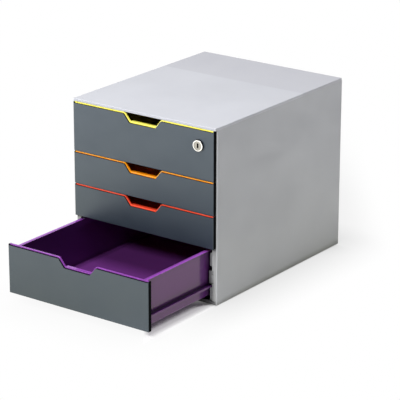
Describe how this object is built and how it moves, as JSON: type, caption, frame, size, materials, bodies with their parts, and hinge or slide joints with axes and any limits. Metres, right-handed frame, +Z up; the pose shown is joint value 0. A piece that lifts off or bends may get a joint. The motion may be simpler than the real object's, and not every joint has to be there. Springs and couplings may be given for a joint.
{
  "type": "desktop drawer box",
  "caption": "Free-standing plastic drawer box for a desk, with trays on side runners, notched fronts and a cam lock in the top drawer.",
  "frame": {"origin": "On the resting surface, at the centre of the casing's width, midway between the front of the open bottom drawer and the back of the casing", "axes": "+X to the right as seen from the front, +Y to the back of the casing, along which the drawers close, +Z up"},
  "size_m": [0.28, 0.52, 0.292],
  "materials": {
    "casing_grey": "fine spark-eroded grain, satin",
    "runner_grey": "plain moulded, in the shade of the casing",
    "front_grey": "fine matt grain, slate grey",
    "tray_yellow": "smooth moulded",
    "tray_orange": "smooth moulded",
    "tray_red": "smooth moulded",
    "tray_purple": "smooth moulded",
    "lock_chrome": "polished plating",
    "steel_zinc": "zinc plated",
    "rubber_black": "matt"
  },
  "bodies": {
    "casing": {"top_cover": "casing_grey", "base_plate": "casing_grey", "back_panel": "casing_grey", "side_panel_left": "casing_grey", "side_panel_right": "casing_grey", "runner_panel_left": "runner_grey", "runner_panel_right": "runner_grey", "stop_catches_left": "casing_grey", "stop_catches_right": "casing_grey", "foot_front_left": "rubber_black", "foot_front_right": "rubber_black", "foot_rear_left": "rubber_black", "foot_rear_right": "rubber_black", "casing_screws": "steel_zinc"},
    "drawer_1": {"drawer_1_tray": "tray_yellow", "drawer_1_front": "front_grey", "lock_body": "lock_chrome", "lock_nut": "steel_zinc"},
    "drawer_2": {"drawer_2_tray": "tray_orange", "drawer_2_front": "front_grey"},
    "drawer_3": {"drawer_3_tray": "tray_red", "drawer_3_front": "front_grey"},
    "drawer_4": {"drawer_4_tray": "tray_purple", "drawer_4_front": "front_grey"},
    "lock_plug": {"lock_plug": "lock_chrome", "lock_cam": "steel_zinc", "lock_cam_screw": "steel_zinc"}
  },
  "joints": [
    {"name": "drawer_1_slide", "type": "slide", "parent": "casing", "child": "drawer_1", "axis": [0, -1, 0], "range_m": [0, 0.25]},
    {"name": "drawer_2_slide", "type": "slide", "parent": "casing", "child": "drawer_2", "axis": [0, -1, 0], "range_m": [0, 0.25]},
    {"name": "drawer_3_slide", "type": "slide", "parent": "casing", "child": "drawer_3", "axis": [0, -1, 0], "range_m": [0, 0.25]},
    {"name": "drawer_4_slide", "type": "slide", "parent": "casing", "child": "drawer_4", "axis": [0, -1, 0], "range_m": [-0.164, 0.086]},
    {"name": "lock_turn", "type": "hinge", "parent": "drawer_1", "child": "lock_plug", "pos_m": [0.1097, -0.096, 0.2606], "axis": [0, 1, 0], "range_deg": [0, 90]}
  ]
}
